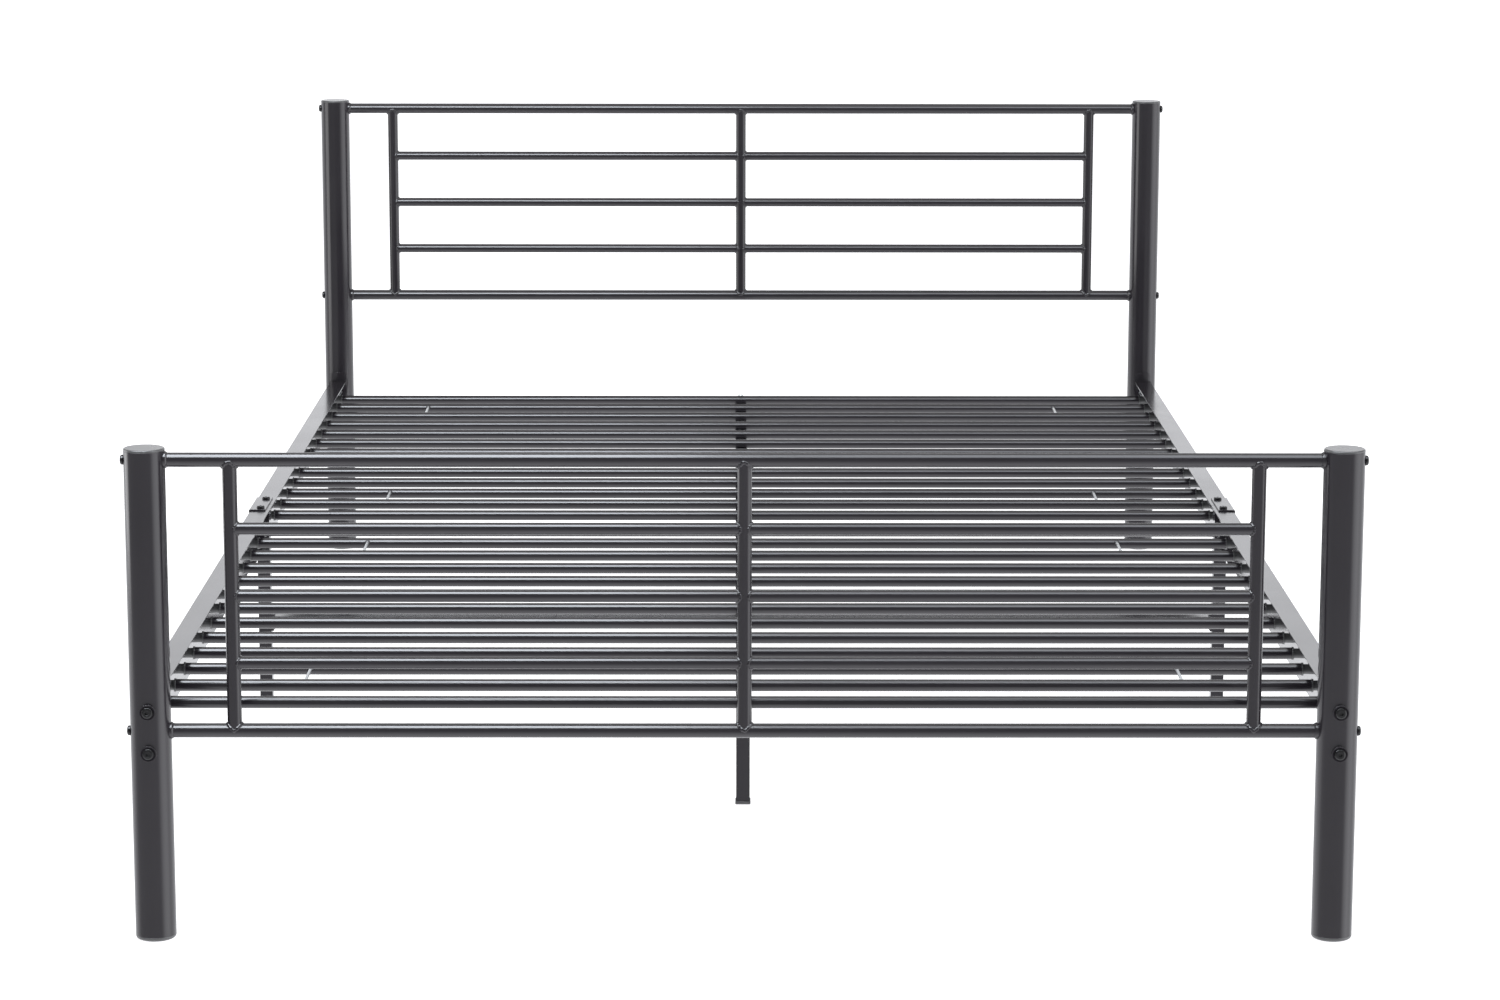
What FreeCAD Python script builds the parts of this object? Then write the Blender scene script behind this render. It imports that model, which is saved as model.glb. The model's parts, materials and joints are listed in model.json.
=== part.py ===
import FreeCAD, Part
import math
import os
import Sketcher

os.makedirs("parts", exist_ok=True)

Vector = FreeCAD.Vector
Rotation = FreeCAD.Rotation
Placement = FreeCAD.Placement

doc = FreeCAD.newDocument("metal_bed_frame")

# ---------------------------------------------------------------------------
# Driving dimensions, in millimetres.
# Frame: X across the bed, Y from the footboard (-Y) to the headboard (+Y),
# Z up from the floor. The origin is on the floor under the middle of the bed.
# ---------------------------------------------------------------------------
SIZES = {
    # the four posts
    "span_wide": 1224.0,         # post axis to post axis across the bed
    "span_long": 2080.0,         # post axis to post axis along the bed
    "foot_post_top": 517.0,      # floor to the top of a footboard post cap
    "head_post_top": 687.0,      # floor to the top of a headboard post cap
    "post_width": 42.4,
    "post_wall": 1.5,
    "cap_rise": 2.5,             # part of a cap that stands above the tube
    "cap_rounding": 1.5,
    "cap_gap": 0.5,              # cap skirt to the bolt that crosses below it
    "pad_rise": 4.5,             # part of a foot that stands below the tube
    "pad_rounding": 3.6,
    "pad_depth": 16.0,
    "plug_wall": 2.0,
    "plug_clearance": 0.1,       # between a plug and the bore that it fits
    # the headboard and footboard panels
    "panel_drop": 12.5,          # post top to the axis of the top rail
    "panel_height": 283.5,       # top rail axis to bottom rail axis
    "tube_width": 15.0,          # rails and uprights
    "tube_wall": 1.2,
    "bar_width": 12.7,
    "bar_wall": 1.0,
    "upright_inset": 86.6,       # post axis to the axis of a side upright
    "saddle_width": 17.5,        # coped ferrule between a rail and its post
    "saddle_length": 2.6,
    "saddle_rim": 1.0,           # straight part of its edge
    # the side rails, each an angle with its flange on top, turned inwards
    "rail_top": 262.0,
    "rail_width": 24.0,          # top flange, centred on the posts
    "rail_depth": 71.0,          # upright web
    "rail_wall": 1.5,
    "seam_gap": 1.0,             # between the two halves of a rail
    "pin_width": 5.0,            # pins on the web that carry the slats
    "pin_length": 12.0,
    # the saddle bracket at each rail end
    "bracket_wall": 2.5,
    "bracket_width": 25.0,
    "bracket_above": 13.0,       # how far it stands above the rail
    "bracket_round": 6.0,
    # the plate over each rail seam
    "plate_width": 21.0,
    "plate_length": 86.0,
    "plate_wall": 1.8,
    "plate_skirt": 16.0,
    "screw_spacing": 62.0,
    # the slats
    "slat_width": 13.0,
    "slat_wall": 1.0,
    "slat_count": 13,            # in each half of the bed
    "slat_margin": 54.5,         # post axis, or seam, to the nearest slat
    "slat_drop": 17.5,           # rail top to the top of a slat
    "slat_clearance": 1.0,       # end of a slat's plug to the inside of the rail
    "slat_plug_length": 18.5,    # what stands out of the slat
    "slat_plug_width": 11.0,
    "slat_plug_grip": 14.0,      # what sits in the slat
    "slat_collar_width": 14.4,
    "slat_collar_length": 2.0,
    "pin_clearance": 0.2,        # all round between a pin and the plug on it
    # the centre beam, its legs and the frame under the middle joint
    "beam_width": 16.0,
    "beam_wall": 1.2,
    "beam_overhang": 22.0,       # beam end beyond the last slat
    "joiner_length": 150.0,
    "centre_leg_inset": 545.0,   # post axis to the axis of a centre leg
    "leg_width": 16.0,
    "leg_wall": 1.2,
    "glide_rise": 4.0,
    "glide_chamfer": 1.0,
    "glide_depth": 14.0,
    "glide_flange": 1.0,         # how far a glide stands out past its leg
    "leg_bolt_drop": 52.0,       # rail top to the bolt through a side leg
    "leg_bracket_wall": 2.5,
    "leg_bracket_length": 86.0,
    "leg_cheek_wall": 1.5,
    "leg_cheek_depth": 64.0,
    "leg_top_gap": 1.0,          # leg to the bracket above it
    "side_screw_drop": 44.0,     # rail top to the screws through the web
    "crossbar_top": 117.5,
    "end_plate_wall": 3.0,
    "end_plate_height": 22.0,
    # fasteners
    "bolt_width": 6.0,
    "bolt_head_width": 12.0,
    "bolt_head_height": 3.6,
    "bolt_recess": 4.0,          # across the flats of the hexagon socket
    "side_head_width": 10.5,
    "side_head_height": 3.2,
    "nut_width": 10.0,           # across the flats
    "nut_height": 5.0,
    "bolt_end": 1.5,             # thread left past the nut
    "bolt_spacing": 43.5,        # the two bolts through a post
    "top_bolt_drop": 16.7,       # rail top to the upper of them
    "washer_width": 17.0,
    "washer_height": 3.0,
    "washer_lip": 0.8,           # width and height of its rim
    "washer_gap": 0.3,           # bolt head to the hollow of the washer
    "screw_width": 5.0,
    "screw_head_width": 10.0,
    "screw_head_height": 3.0,
    "screw_length": 12.0,
    "beam_screw_width": 4.0,
    "beam_screw_head_width": 7.5,
    "beam_screw_head_height": 2.0,
    "joiner_screw_share": 0.36,  # of the joiner's length, from its middle to each screw
    "insert_length": 16.0,
    "hole_clearance": 0.4,
    # the short tie rods that hold the spacing between some of the slats
    "tie_width": 3.4,
    "tie_offset": 467.0,         # from the middle of the bed
    "tie_rise": 2.4,             # above the axis of the slats
    "tie_from_ends": 1,          # slats between a tie and the end of its half
}

sheet = doc.addObject("Spreadsheet::Sheet", "sizes")
for row, (alias, value) in enumerate(SIZES.items(), start=1):
    sheet.set("A%d" % row, alias)
    sheet.set("B%d" % row, str(value))
    sheet.setAlias("B%d" % row, alias)
doc.recompute()


def size(alias):
    """A driving dimension, read from the sheet."""
    return float(sheet.get(alias))


parts = []


def keep(thing, label):
    """Lists an object as a sub-part under the name that its file gets."""
    thing.Label = label
    parts.append(thing)
    return thing


# ---------------------------------------------------------------------------
# Levels and places worked out from the driving dimensions
# ---------------------------------------------------------------------------
HALF_WIDE = size("span_wide") / 2
HALF_LONG = size("span_long") / 2
POST_RADIUS = size("post_width") / 2
SLAT_RADIUS = size("slat_width") / 2
RAIL_TOP = size("rail_top")
RAIL_BOTTOM = RAIL_TOP - size("rail_depth")
RAIL_OUTER = HALF_WIDE + size("rail_width") / 2
WEB_INNER = RAIL_OUTER - size("rail_wall")
SLAT_AXIS = RAIL_TOP - size("slat_drop") - SLAT_RADIUS
SLAT_END = WEB_INNER - size("slat_clearance") - size("slat_plug_length")
BEAM_TOP = SLAT_AXIS - SLAT_RADIUS
SIDE_SCREW_LEVEL = RAIL_TOP - size("side_screw_drop")
LEG_PLACE = WEB_INNER - size("leg_bracket_wall") - size("leg_width") / 2
BEAM_AXIS = BEAM_TOP - size("beam_width") / 2
UPRIGHT_PLACES = {
    "left": -HALF_WIDE + size("upright_inset"),
    "centre": 0.0,
    "right": HALF_WIDE - size("upright_inset"),
}
SIDES = {"left": -1, "right": 1}
ENDS = {"foot": -1, "head": 1}
POST_TOPS = {"foot": size("foot_post_top"), "head": size("head_post_top")}
ALONG_X = Rotation(Vector(0, 1, 0), 90)
UPRIGHT = Rotation()


def slat_places():
    """Y of every slat: the same spacing in both halves, even about the seam."""
    count = int(size("slat_count"))
    margin = size("slat_margin")
    pitch = (HALF_LONG - 2 * margin) / (count - 1)
    half = [margin + pitch * i for i in range(count)]
    return {"head": half, "foot": [-y for y in half]}


SLAT_PLACES = slat_places()

# ---------------------------------------------------------------------------
# Helpers for sketches and features
# ---------------------------------------------------------------------------


def plane_of(body, role):
    return next(f for f in body.Origin.OriginFeatures if f.Role == role)


def new_body(name):
    return doc.addObject("PartDesign::Body", name)


def new_sketch(body, name, role="XY_Plane"):
    sketch = body.newObject("Sketcher::SketchObject", name)
    sketch.AttachmentSupport = [(plane_of(body, role), "")]
    sketch.MapMode = "FlatFace"
    return sketch


def add_circle(sketch, expression, centre=(0.0, 0.0)):
    """A circle whose diameter follows an expression."""
    start = Vector(centre[0], centre[1], 0)
    edge = sketch.addGeometry(Part.Circle(start, Vector(0, 0, 1), 5.0))
    sketch.addConstraint(Sketcher.Constraint("DistanceX", -1, 1, edge, 3, centre[0]))
    sketch.addConstraint(Sketcher.Constraint("DistanceY", -1, 1, edge, 3, centre[1]))
    index = sketch.addConstraint(Sketcher.Constraint("Diameter", edge, 10.0))
    sketch.setExpression("Constraints[%d]" % index, expression)
    return edge


def pad(body, sketch, length, middle=False):
    """Pads a sketch by an expression, from its plane or both ways from it."""
    feature = body.newObject("PartDesign::Pad", sketch.Name + "_pad")
    feature.Profile = sketch
    feature.setExpression("Length", length)
    feature.Midplane = middle
    sketch.Visibility = False
    return feature


def round_tube(name, width, wall, length, middle=True):
    """A round tube along the body's own Z. Each size is an expression."""
    body = new_body(name)
    sketch = new_sketch(body, name + "_section")
    add_circle(sketch, width)
    add_circle(sketch, "%s - 2 * (%s)" % (width, wall))
    pad(body, sketch, length, middle)
    return body


def drill(body, name, role, diameter, centres, both_ways=True):
    """Round holes through a body, square to one of its origin planes."""
    sketch = new_sketch(body, name, role)
    for centre in centres:
        add_circle(sketch, diameter, centre)
    pocket = body.newObject("PartDesign::Pocket", name + "_pocket")
    pocket.Profile = sketch
    pocket.Type = "ThroughAll"
    pocket.Midplane = both_ways
    sketch.Visibility = False
    return pocket


def outline(points):
    """A closed wire through points given as (x, y, z)."""
    return Part.makePolygon([Vector(*p) for p in points + points[:1]])


def spun(points):
    """A solid of revolution about Z from a half section given as (radius, z)."""
    face = Part.Face(outline([(r, 0, z) for r, z in points]))
    return face.revolve(Vector(0, 0, 0), Vector(0, 0, 1), 360)


def feature(name, shape, place=Placement()):
    """A Part::Feature with its Shape, then its Placement."""
    thing = doc.addObject("Part::Feature", name)
    thing.Shape = shape
    thing.Placement = place
    return thing


def group(name, shape, places):
    """One node of identical separate solids: a compound of placed copies."""
    copies = []
    for place in places:
        copy = shape.copy()
        copy.Placement = place.multiply(copy.Placement)
        copies.append(copy)
    return keep(feature(name, Part.makeCompound(copies)), name)


# ---------------------------------------------------------------------------
# Posts, their caps and their feet
# ---------------------------------------------------------------------------
PANEL_LEVELS = {
    end: (POST_TOPS[end] - size("panel_drop"),
          POST_TOPS[end] - size("panel_drop") - size("panel_height"))
    for end in ENDS
}
BOLT_LEVELS = (
    RAIL_TOP - size("top_bolt_drop"),
    RAIL_TOP - size("top_bolt_drop") - size("bolt_spacing"),
)


def make_post(end, side):
    """A steel tube with holes across it for the rail bolts and the panel bolts."""
    name = "%s_post_%s" % (end, side)
    body = round_tube(name, "sizes.post_width", "sizes.post_wall",
                      "sizes.%s_post_top - sizes.cap_rise - sizes.pad_rise" % end, middle=False)
    base = size("pad_rise")
    hole = "sizes.bolt_width + sizes.hole_clearance"
    drill(body, name + "_rail_holes", "XZ_Plane", hole,
          [(0.0, level - base) for level in BOLT_LEVELS])
    drill(body, name + "_panel_holes", "YZ_Plane", hole,
          [(0.0, level - base) for level in PANEL_LEVELS[end]])
    body.Placement = Placement(Vector(SIDES[side] * HALF_WIDE, ENDS[end] * HALF_LONG, base), UPRIGHT)
    keep(body, name)


def plug_shape(rise, depth, rounding):
    """A moulded plug: a hollow skirt below a disc whose rim is rounded."""
    bore = POST_RADIUS - size("post_wall") - size("plug_clearance")
    inner = bore - size("plug_wall")
    rim_start = Vector(POST_RADIUS, 0, rise - rounding)
    rim_end = Vector(POST_RADIUS - rounding, 0, rise)
    slant = rounding * math.sqrt(0.5)
    rim_middle = Vector(POST_RADIUS - rounding + slant, 0, rise - rounding + slant)
    section = [(0, rise), (0, -size("plug_wall")), (inner, -size("plug_wall")), (inner, -depth),
               (bore, -depth), (bore, 0), (POST_RADIUS, 0)]
    corners = [rim_end] + [Vector(r, 0, z) for r, z in section] + [rim_start]
    rim = Part.Arc(rim_start, rim_middle, rim_end).toShape()
    face = Part.Face(Part.Wire(Part.makePolygon(corners).Edges + [rim]))
    return face.revolve(Vector(0, 0, 0), Vector(0, 0, 1), 360)


CAP_DEPTH = size("panel_drop") - size("cap_rise") - size("bolt_width") / 2 - size("cap_gap")
CAP = plug_shape(size("cap_rise"), CAP_DEPTH, size("cap_rounding"))
PAD = plug_shape(size("pad_rise"), size("pad_depth"), size("pad_rounding"))
UPSIDE_DOWN = Rotation(Vector(1, 0, 0), 180)

POST_SPOTS = [(end, SIDES[side] * HALF_WIDE, ENDS[end] * HALF_LONG)
              for end in ENDS for side in SIDES]

for end in ENDS:
    for side in SIDES:
        make_post(end, side)
group("post_caps", CAP, [Placement(Vector(x, y, POST_TOPS[end] - size("cap_rise")), UPRIGHT)
                         for end, x, y in POST_SPOTS])
group("post_feet", PAD, [Placement(Vector(x, y, size("pad_rise")), UPSIDE_DOWN)
                         for end, x, y in POST_SPOTS])

# ---------------------------------------------------------------------------
# Headboard and footboard panels: two rails, three uprights and six bars each
# ---------------------------------------------------------------------------
COPE_TOOL_LENGTH = 3 * size("post_width")


def coped_between(shape, across, ends):
    """Cuts a tube's ends to the round of what it butts against.

    across is the radius of the round, and ends lists the points that its axis
    passes through, upright for a rail between posts and level for a bar.
    """
    for centre, direction in ends:
        start = Vector(*centre) - direction * COPE_TOOL_LENGTH / 2
        shape = shape.cut(Part.makeCylinder(across, COPE_TOOL_LENGTH, start, direction))
    return max(shape.Solids, key=lambda solid: solid.Volume)


def tube_shape(width, wall, start, end):
    """A straight round tube from one point to another."""
    axis = end - start
    outer = Part.makeCylinder(width / 2, axis.Length, start, axis)
    return outer.cut(Part.makeCylinder(width / 2 - wall, axis.Length, start, axis))


def make_panel(end):
    y = ENDS[end] * HALF_LONG
    top, bottom = PANEL_LEVELS[end]
    tube = size("tube_width")
    up = Vector(0, 0, 1)
    # The rails stop on the coped saddles, which fill the gap to the posts.
    rail_length = "sizes.span_wide - sizes.post_width - 2 * sizes.saddle_length"
    for level, place in ((top, "top"), (bottom, "bottom")):
        name = "%s_%s_rail" % (end, place)
        rail = round_tube(name, "sizes.tube_width", "sizes.tube_wall", rail_length)
        rail.Placement = Placement(Vector(0, y, level), ALONG_X)
        keep(rail, name)
    for place, x in UPRIGHT_PLACES.items():
        name = "%s_upright_%s" % (end, place)
        shape = tube_shape(tube, size("tube_wall"), Vector(x, y, bottom), Vector(x, y, top))
        shape = coped_between(shape, tube / 2,
                              [((x, y, top), Vector(1, 0, 0)), ((x, y, bottom), Vector(1, 0, 0))])
        keep(feature(name, shape), name)
    # Three bars on each side of the centre upright, with even clear gaps between tubes.
    bar = size("bar_width")
    gap = (top - bottom - tube - 3 * bar) / 4
    for side in SIDES:
        outer = UPRIGHT_PLACES[side]
        bars = []
        for i in range(3):
            level = top - tube / 2 - (i + 1) * gap - (i + 0.5) * bar
            shape = tube_shape(bar, size("bar_wall"), Vector(outer, y, level), Vector(0, y, level))
            bars.append(coped_between(shape, tube / 2,
                                      [((outer, y, level), up), ((0, y, level), up)]))
        name = "%s_bars_%s" % (end, side)
        keep(feature(name, Part.makeCompound(bars)), name)


for end in ENDS:
    make_panel(end)

# ---------------------------------------------------------------------------
# Side rails: four angles, joined in pairs over the middle legs
# ---------------------------------------------------------------------------
POST_SHARE = 0.75    # how far along the post's radius the uncut rail reaches
RAIL_LENGTH = HALF_LONG - POST_SHARE * POST_RADIUS - size("seam_gap") / 2


def make_side_rail(end, side):
    """An angle: a top flange turned inwards on an upright web, with a pin for each slat."""
    name = "side_rail_%s_%s" % (end, side)
    wall = size("rail_wall")
    depth = size("rail_depth")
    width = size("rail_width")
    section = [(0, 0), (wall, 0), (wall, depth - wall), (width, depth - wall), (width, depth),
               (0, depth)]
    body = new_body(name)
    sketch = new_sketch(body, name + "_section", "XZ_Plane")
    inward = -SIDES[side]
    count = len(section)
    points = [Vector(inward * px, pz, 0) for px, pz in section]
    for i in range(count):
        sketch.addGeometry(Part.LineSegment(points[i], points[(i + 1) % count]))
    for i in range(count):
        sketch.addConstraint(Sketcher.Constraint("Coincident", i, 2, (i + 1) % count, 1))
    sketch.addConstraint(Sketcher.Constraint("Coincident", 0, 1, -1, 1))
    for i in range(count):
        kind = "Horizontal" if i % 2 == 0 else "Vertical"
        sketch.addConstraint(Sketcher.Constraint(kind, i))
    # Each size is a signed distance, so that the two sides share one recipe.
    runs = [
        (0, "DistanceX", inward, "sizes.rail_wall"),
        (1, "DistanceY", 1, "sizes.rail_depth - sizes.rail_wall"),
        (2, "DistanceX", inward, "sizes.rail_width - sizes.rail_wall"),
        (3, "DistanceY", 1, "sizes.rail_wall"),
    ]
    for edge, kind, sign, expression in runs:
        first, last = (1, 2) if sign > 0 else (2, 1)
        index = sketch.addConstraint(
            Sketcher.Constraint(kind, edge, first, edge, last, size("rail_wall")))
        sketch.setExpression("Constraints[%d]" % index, expression)
    pad(body, sketch, "sizes.span_long / 2 - %s * sizes.post_width / 2 - sizes.seam_gap / 2"
        % POST_SHARE)
    seam = ENDS[end] * size("seam_gap") / 2
    near = seam if end == "foot" else seam + RAIL_LENGTH
    pins = new_sketch(body, name + "_pins", "YZ_Plane")
    for y in SLAT_PLACES[end]:
        add_circle(pins, "sizes.pin_width", (y - near, SLAT_AXIS - RAIL_BOTTOM))
    pins_pad = pad(body, pins, "sizes.rail_wall + sizes.pin_length")
    pins_pad.Reversed = inward < 0
    flange_x = inward * width / 2
    drill(body, name + "_cope", "XY_Plane", "sizes.post_width + 2 * sizes.bracket_wall",
          [(flange_x, ENDS[end] * HALF_LONG - near)])
    screw_y = ENDS[end] * size("screw_spacing") / 2 - near
    screw_hole = "sizes.screw_width + sizes.hole_clearance"
    drill(body, name + "_top_screw_hole", "XY_Plane", screw_hole, [(flange_x, screw_y)])
    drill(body, name + "_side_screw_hole", "YZ_Plane", screw_hole,
          [(screw_y, SIDE_SCREW_LEVEL - RAIL_BOTTOM)])
    body.Placement = Placement(Vector(SIDES[side] * RAIL_OUTER, near, RAIL_BOTTOM), UPRIGHT)
    keep(body, name)



for end in ENDS:
    for side in SIDES:
        make_side_rail(end, side)


def make_bracket(end, side):
    """A saddle on the bed side of a post, welded to the end of a side rail."""
    name = "rail_bracket_%s_%s" % (end, side)
    tall = size("rail_depth") + size("bracket_above")
    outer = POST_RADIUS + size("bracket_wall")
    half = size("bracket_width") / 2
    corner = size("bracket_round")
    ring = Part.makeCylinder(outer, tall).cut(Part.makeCylinder(POST_RADIUS, tall))
    # The blank is cut from the ring by its outline, seen along the bed: round upper corners.
    turn = corner * (1 - math.sqrt(0.5))
    right = Part.Arc(Vector(half, 0, tall - corner), Vector(half - turn, 0, tall - turn),
                     Vector(half - corner, 0, tall))
    left = Part.Arc(Vector(corner - half, 0, tall), Vector(turn - half, 0, tall - turn),
                    Vector(-half, 0, tall - corner))
    edges = [Part.makeLine(Vector(-half, 0, 0), Vector(half, 0, 0)),
             Part.makeLine(Vector(half, 0, 0), Vector(half, 0, tall - corner)), right.toShape(),
             Part.makeLine(Vector(half - corner, 0, tall), Vector(corner - half, 0, tall)),
             left.toShape(),
             Part.makeLine(Vector(-half, 0, tall - corner), Vector(-half, 0, 0))]
    blank = Part.Face(Part.Wire(edges)).extrude(Vector(0, -ENDS[end] * 2 * outer, 0))
    saddle = ring.common(blank)
    hole = (size("bolt_width") + size("hole_clearance")) / 2
    for level in BOLT_LEVELS:
        saddle = saddle.cut(Part.makeCylinder(
            hole, 4 * outer, Vector(0, -2 * outer, level - RAIL_BOTTOM), Vector(0, 1, 0)))
    place = Placement(Vector(SIDES[side] * HALF_WIDE, ENDS[end] * HALF_LONG, RAIL_BOTTOM), UPRIGHT)
    keep(feature(name, saddle, place), name)


for end in ENDS:
    for side in SIDES:
        make_bracket(end, side)


def make_joint_plate(side):
    """A folded plate over a rail seam: a top with two screws and a skirt outside the web."""
    name = "joint_plate_%s" % side
    wall = size("plate_wall")
    length = size("plate_length")
    sign = SIDES[side]
    top = Part.makeBox(size("plate_width"), length, wall,
                       Vector(-size("plate_width") + wall, -length / 2, 0))
    skirt = Part.makeBox(wall, length, size("plate_skirt") + wall,
                         Vector(0, -length / 2, -size("plate_skirt")))
    shape = top.fuse(skirt).removeSplitter()
    bend = [e for e in shape.Edges
            if abs(e.BoundBox.XMax - wall) < 1e-6 and e.BoundBox.XLength < 1e-6
            and abs(e.BoundBox.ZMax - wall) < 1e-6 and e.BoundBox.ZLength < 1e-6]
    shape = shape.makeFillet(0.9 * wall, bend)
    hole = (size("screw_width") + size("hole_clearance")) / 2
    for direction in (-1, 1):
        centre = Vector(-size("rail_width") / 2, direction * size("screw_spacing") / 2, -wall)
        shape = shape.cut(Part.makeCylinder(hole, 4 * wall, centre))
    if sign < 0:
        shape = shape.mirror(Vector(0, 0, 0), Vector(1, 0, 0))
    keep(feature(name, shape, Placement(Vector(sign * RAIL_OUTER, 0, RAIL_TOP), UPRIGHT)), name)


for side in SIDES:
    make_joint_plate(side)

# ---------------------------------------------------------------------------
# Slats: round tubes with a moulded plug in each end, which slips over a pin on the rail
# ---------------------------------------------------------------------------


def make_slats(end):
    """One half of the deck. Its first and last slats are drilled for the beam's screws."""
    plain = tube_shape(size("slat_width"), size("slat_wall"),
                       Vector(-SLAT_END, 0, SLAT_AXIS), Vector(SLAT_END, 0, SLAT_AXIS))
    drilled = plain.cut(Part.makeCylinder(
        size("beam_screw_width") / 2, 2 * size("slat_width"),
        Vector(0, 0, SLAT_AXIS - size("slat_width"))))
    slats = []
    rows = SLAT_PLACES[end]
    for y in rows:
        slat = (drilled if y in (rows[0], rows[-1]) else plain).copy()
        slat.translate(Vector(0, y, 0))
        slats.append(slat)
    keep(feature("%s_slats" % end, Part.makeCompound(slats)), "%s_slats" % end)


for end in ENDS:
    make_slats(end)


def slat_plug_shape():
    """A plug with its collar at z = 0: a hollow grip below, a socketed nose above."""
    grip = SLAT_RADIUS - size("slat_wall") - size("plug_clearance")
    bore = grip - size("plug_wall")
    collar = size("slat_collar_width") / 2
    step = size("slat_collar_length")
    nose = size("slat_plug_width") / 2
    tip = size("slat_plug_length")
    socket = size("pin_width") / 2 + size("pin_clearance")
    floor = tip - size("pin_length") - size("slat_clearance")
    return spun([(0, 0), (bore, 0), (bore, -size("slat_plug_grip")),
                 (grip, -size("slat_plug_grip")), (grip, 0), (collar, 0), (collar, step),
                 (nose, step), (nose, tip - 1), (nose - 1, tip), (socket, tip), (socket, floor),
                 (0, floor)])


group("slat_plugs", slat_plug_shape(), [
    Placement(Vector(sign * SLAT_END, y, SLAT_AXIS), Rotation(Vector(0, 0, 1), Vector(sign, 0, 0)))
    for end in ENDS for y in SLAT_PLACES[end] for sign in (-1, 1)])


def make_ties():
    """Short rods from the foot side of one slat to the head side of the next."""
    skipped = int(size("tie_from_ends"))
    level = SLAT_AXIS + size("tie_rise")
    rods = []
    for end in ENDS:
        rows = sorted(SLAT_PLACES[end], reverse=True)
        for first in (skipped, len(rows) - skipped - 2):
            for sign in SIDES.values():
                x = sign * size("tie_offset")
                rod = Part.makeCylinder(size("tie_width") / 2, rows[first] - rows[first + 1],
                                        Vector(x, rows[first + 1], level), Vector(0, 1, 0))
                rods.append(coped_between(rod, SLAT_RADIUS, [
                    ((x, rows[first], SLAT_AXIS), Vector(1, 0, 0)),
                    ((x, rows[first + 1], SLAT_AXIS), Vector(1, 0, 0))]))
    keep(feature("slat_ties", Part.makeCompound(rods)), "slat_ties")


make_ties()

# ---------------------------------------------------------------------------
# Centre beam in two halves, the sleeve that joins them, and its three legs
# ---------------------------------------------------------------------------
BEAM_END = HALF_LONG - size("slat_margin") + size("beam_overhang")
BEAM_LENGTH = BEAM_END - size("seam_gap") / 2
BEAM_BORE = size("beam_width") - 2 * size("beam_wall")
JOINER_WIDTH = BEAM_BORE - 2 * size("plug_clearance")
JOINER_SCREW_Y = size("joiner_screw_share") * size("joiner_length")
CENTRE_LEG_PLACES = {
    "foot": -HALF_LONG + size("centre_leg_inset"),
    "middle": 0.0,
    "head": HALF_LONG - size("centre_leg_inset"),
}
LEG_BASE = size("glide_rise")


def upright_hole(shape, diameter, x, y, low, high):
    return shape.cut(Part.makeCylinder(diameter / 2, high - low, Vector(x, y, low)))


def block(wide, long_, tall, x=0.0, y=0.0, z=0.0):
    """A box centred on x and y, standing on z."""
    return Part.makeBox(wide, long_, tall, Vector(x - wide / 2, y - long_ / 2, z))


def make_beam(end):
    """A square tube under the slats, drilled for its end screws and its leg bolts."""
    name = "centre_beam_%s" % end
    low = BEAM_AXIS - size("beam_width") / 2
    middle = ENDS[end] * (BEAM_END + size("seam_gap") / 2) / 2
    outer = block(size("beam_width"), BEAM_LENGTH, size("beam_width"), 0, middle, low)
    bore = block(BEAM_BORE, BEAM_LENGTH, BEAM_BORE, 0, middle, low + size("beam_wall"))
    shape = outer.cut(bore)
    hole = size("bolt_width") + size("hole_clearance")
    for y in (CENTRE_LEG_PLACES[end], CENTRE_LEG_PLACES["middle"]):
        shape = upright_hole(shape, hole, 0, y, low - 1, BEAM_AXIS)
    shape = upright_hole(shape, size("beam_screw_width"), 0, ENDS[end] * JOINER_SCREW_Y, low - 1,
                         BEAM_AXIS)
    for y in (SLAT_PLACES[end][0], SLAT_PLACES[end][-1]):
        shape = upright_hole(shape, size("beam_screw_width"), 0, y, BEAM_AXIS, BEAM_TOP + 1)
    keep(feature(name, shape), name)


for end in ENDS:
    make_beam(end)

joiner = block(JOINER_WIDTH, size("joiner_length"), JOINER_WIDTH, 0, 0, BEAM_AXIS - JOINER_WIDTH / 2)
joiner_bore = JOINER_WIDTH - 2 * size("beam_wall")
joiner = joiner.cut(block(joiner_bore, size("joiner_length"), joiner_bore, 0, 0,
                          BEAM_AXIS - joiner_bore / 2))
joiner = upright_hole(joiner, size("bolt_width") + size("hole_clearance"), 0, 0,
                      BEAM_AXIS - JOINER_WIDTH, BEAM_AXIS)
for direction in (-1, 1):
    joiner = upright_hole(joiner, size("beam_screw_width"), 0, direction * JOINER_SCREW_Y,
                          BEAM_AXIS - JOINER_WIDTH, BEAM_AXIS)
    joiner = upright_hole(joiner, size("beam_screw_width"), 0, direction * size("slat_margin"),
                          BEAM_AXIS, BEAM_TOP)
keep(feature("beam_joiner", joiner), "beam_joiner")


def leg_shape(top):
    """A square leg tube from the top of its glide to the level given."""
    tall = top - LEG_BASE
    bore = size("leg_width") - 2 * size("leg_wall")
    return block(size("leg_width"), size("leg_width"), tall, 0, 0, LEG_BASE).cut(
        block(bore, bore, tall, 0, 0, LEG_BASE))


BEAM_BOTTOM = BEAM_TOP - size("beam_width")
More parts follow.
